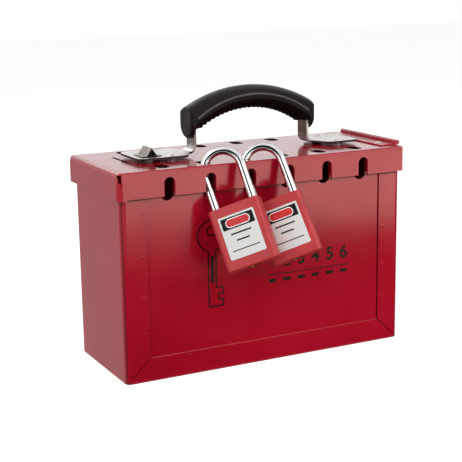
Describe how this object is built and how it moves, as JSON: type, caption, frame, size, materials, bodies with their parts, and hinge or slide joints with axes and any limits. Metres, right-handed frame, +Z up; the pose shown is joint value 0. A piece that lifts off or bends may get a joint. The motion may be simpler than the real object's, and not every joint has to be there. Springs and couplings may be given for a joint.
{
  "type": "group lockout box",
  "caption": "Portable folded-steel group lockout box with a hinged slotted lid, arched carrying handle, slide latch and two safety padlocks hung in its front slots.",
  "frame": {"origin": "centre of the case's underside, where it rests on a surface", "axes": "+X along the case towards the hinged end, +Y towards the back, +Z up"},
  "size_m": [0.2385, 0.1458, 0.2034],
  "materials": {
    "red_paint": "gloss powder coat",
    "zinc_steel": "zinc plated",
    "dark_steel": "plain spring steel",
    "black_grip": "moulded, satin",
    "red_nylon": "moulded nylon, satin",
    "chrome_steel": "polished",
    "brass": "machined",
    "white_label": "laminated vinyl"
  },
  "bodies": {
    "case": {"case_wrap": "red_paint", "case_front_panel": "red_paint", "case_back_panel": "red_paint", "hinge_case_leaf": "red_paint", "hinge_case_rivets": "red_paint", "hinge_pin": "zinc_steel", "latch_keeper": "red_paint"},
    "lid": {"lid_shell": "red_paint", "hinge_lid_leaf": "red_paint", "hinge_lid_rivets": "zinc_steel", "handle_bracket_left": "zinc_steel", "handle_bracket_right": "zinc_steel", "handle_bracket_spacers": "zinc_steel", "handle_bracket_rivets": "zinc_steel", "grip_upper": "black_grip", "grip_lower": "black_grip", "grip_pins": "dark_steel", "latch_guides": "zinc_steel", "latch_detent_spring": "dark_steel"},
    "latch": {"latch_slide": "zinc_steel", "latch_button": "zinc_steel"},
    "padlock_a_shackle": {"padlock_a_shackle": "chrome_steel"},
    "padlock_a_case": {"padlock_a_body": "red_nylon", "padlock_a_cylinder": "brass", "padlock_a_locking_balls": "dark_steel", "padlock_a_heel_pin": "dark_steel", "padlock_a_label": "white_label"},
    "padlock_a_plug": {"padlock_a_key_plug": "brass"},
    "padlock_b_shackle": {"padlock_b_shackle": "chrome_steel"},
    "padlock_b_case": {"padlock_b_body": "red_nylon", "padlock_b_cylinder": "brass", "padlock_b_locking_balls": "dark_steel", "padlock_b_heel_pin": "dark_steel", "padlock_b_label": "white_label"},
    "padlock_b_plug": {"padlock_b_key_plug": "brass"}
  },
  "joints": [
    {"name": "lid_hinge", "type": "hinge", "parent": "case", "child": "lid", "pos_m": [0.11765, 0, 0.15555], "axis": [0, 1, 0], "range_deg": [0, 100]},
    {"name": "latch_slide", "type": "slide", "parent": "lid", "child": "latch", "axis": [-1, 0, 0], "range_m": [0, 0.0055]},
    {"name": "padlock_a_swivel", "type": "hinge", "parent": "lid", "child": "padlock_a_shackle", "pos_m": [-0.04849, -0.04487, 0.13749], "axis": [0.1138, -0.4441, -0.8887], "range_deg": [0, 21]},
    {"name": "padlock_a_release", "type": "slide", "parent": "padlock_a_shackle", "child": "padlock_a_case", "axis": [0.1138, -0.4441, -0.8887], "range_m": [0, 0.0095]},
    {"name": "padlock_a_key_turn", "type": "hinge", "parent": "padlock_a_case", "child": "padlock_a_plug", "pos_m": [-0.03012, -0.08041, 0.08536], "axis": [-0.1138, 0.4441, 0.8887], "range_deg": [0, 90]},
    {"name": "padlock_b_swivel", "type": "hinge", "parent": "lid", "child": "padlock_b_shackle", "pos_m": [-0.01591, -0.0452, 0.13756], "axis": [-0.1427, 0.4527, 0.8802], "range_deg": [0, 2.6]},
    {"name": "padlock_b_release", "type": "slide", "parent": "padlock_b_shackle", "child": "padlock_b_case", "axis": [0.1427, -0.4527, -0.8802], "range_m": [0, 0.0095]},
    {"name": "padlock_b_key_turn", "type": "hinge", "parent": "padlock_b_case", "child": "padlock_b_plug", "pos_m": [0.00499, -0.0801, 0.08595], "axis": [-0.1427, 0.4527, 0.8802], "range_deg": [0, 90]}
  ]
}
